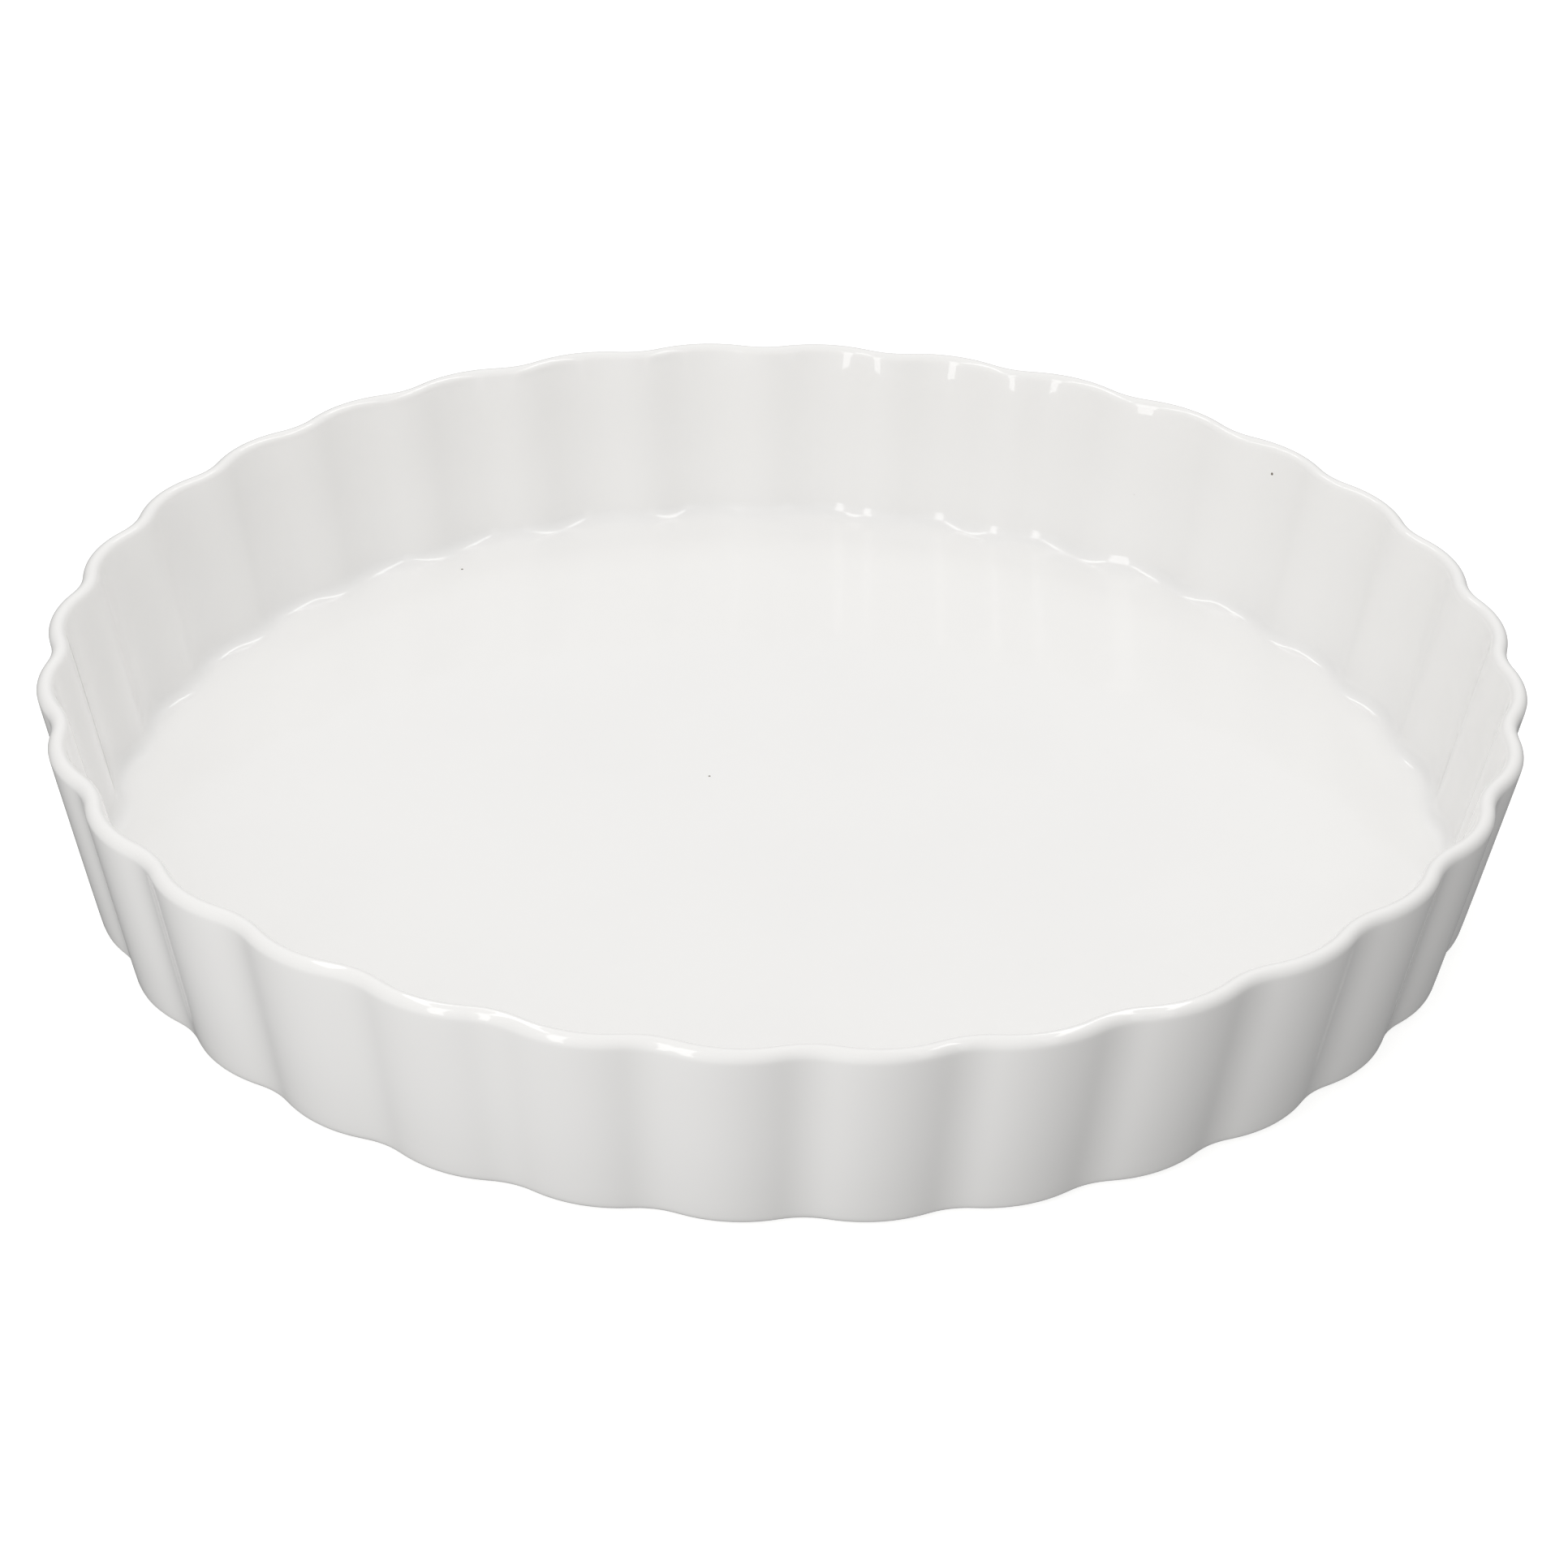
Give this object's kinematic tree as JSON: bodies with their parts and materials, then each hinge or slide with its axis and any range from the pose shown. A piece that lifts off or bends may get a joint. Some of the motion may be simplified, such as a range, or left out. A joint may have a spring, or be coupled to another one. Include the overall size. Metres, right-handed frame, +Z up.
{
  "type": "fluted quiche dish",
  "caption": "Round shallow baking dish of white glazed porcelain with a fluted, slightly flared wall, a rounded lip and a flat foot ring.",
  "frame": {"origin": "centre of the flat plane that the foot ring stands on", "axes": "+Z up along the dish's axis, towards the rim; +X through the crest of one flute"},
  "size_m": [0.299, 0.299, 0.043],
  "materials": {
    "glazed_porcelain": "gloss"
  },
  "bodies": {
    "root": {"dish_body": "glazed_porcelain"}
  },
  "joints": []
}
